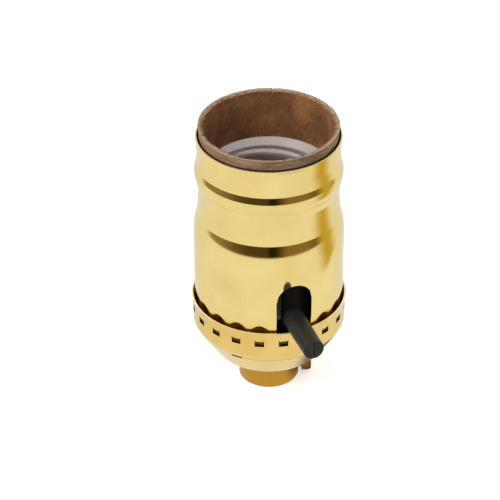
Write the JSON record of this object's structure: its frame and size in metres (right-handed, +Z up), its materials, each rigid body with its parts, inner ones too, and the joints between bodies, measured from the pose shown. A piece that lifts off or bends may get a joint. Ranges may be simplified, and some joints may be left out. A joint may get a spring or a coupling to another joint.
{
  "type": "lamp socket",
  "caption": "Push-through lamp socket: brass shell with two shoulders over a fibre liner, fluted skirt in a windowed cap, threaded bushing, and a black switch rod in a side slot.",
  "frame": {"origin": "on the socket's axis, at the mouth of the threaded bushing, which is also the face that it stands on", "axes": "+Z up towards the lamp, -Y towards the end of the switch rod that stands out, +X completes a right-handed frame"},
  "size_m": [0.0364, 0.048, 0.069],
  "materials": {
    "polished_brass": "bright brass-plated, polished",
    "satin_brass": "satin, turned",
    "vulcanised_fibre": "matt fibre board with a torn edge",
    "rolled_aluminium": "rolled sheet",
    "black_phenolic": "moulded",
    "black_rod": "moulded",
    "plated_steel": "plated",
    "contact_brass": "stamped"
  },
  "bodies": {
    "socket": {"outer_shell": "polished_brass", "cap": "polished_brass", "bushing": "satin_brass", "set_screw": "satin_brass", "fibre_liner": "vulcanised_fibre", "cap_liner": "vulcanised_fibre", "screw_shell": "rolled_aluminium", "switch_body": "black_phenolic", "body_cover": "black_phenolic", "rocker_pin": "plated_steel", "detent_spring": "plated_steel", "neutral_screw": "plated_steel", "body_rivets": "contact_brass", "shell_rivets": "rolled_aluminium", "neutral_strap": "contact_brass", "hot_terminal": "contact_brass", "hot_screw": "contact_brass", "centre_contact": "contact_brass", "contact_rivet": "contact_brass", "feed_spring": "contact_brass"},
    "switch_rod": {"push_rod": "black_rod"},
    "switch_rocker": {"rocker": "black_rod", "contact_blade": "contact_brass"}
  },
  "joints": [
    {"name": "rod_slide", "type": "slide", "parent": "socket", "child": "switch_rod", "axis": [0, 1, 0], "range_m": [0, 0.008]},
    {"name": "rocker_turn", "type": "hinge", "parent": "socket", "child": "switch_rocker", "pos_m": [0, 0, 0.018], "axis": [-1, 0, 0], "range_deg": [0, 60]}
  ],
  "couplings": [
    {"joint": "rocker_turn", "follows": "rod_slide", "rad_per_m": 130.89}
  ]
}
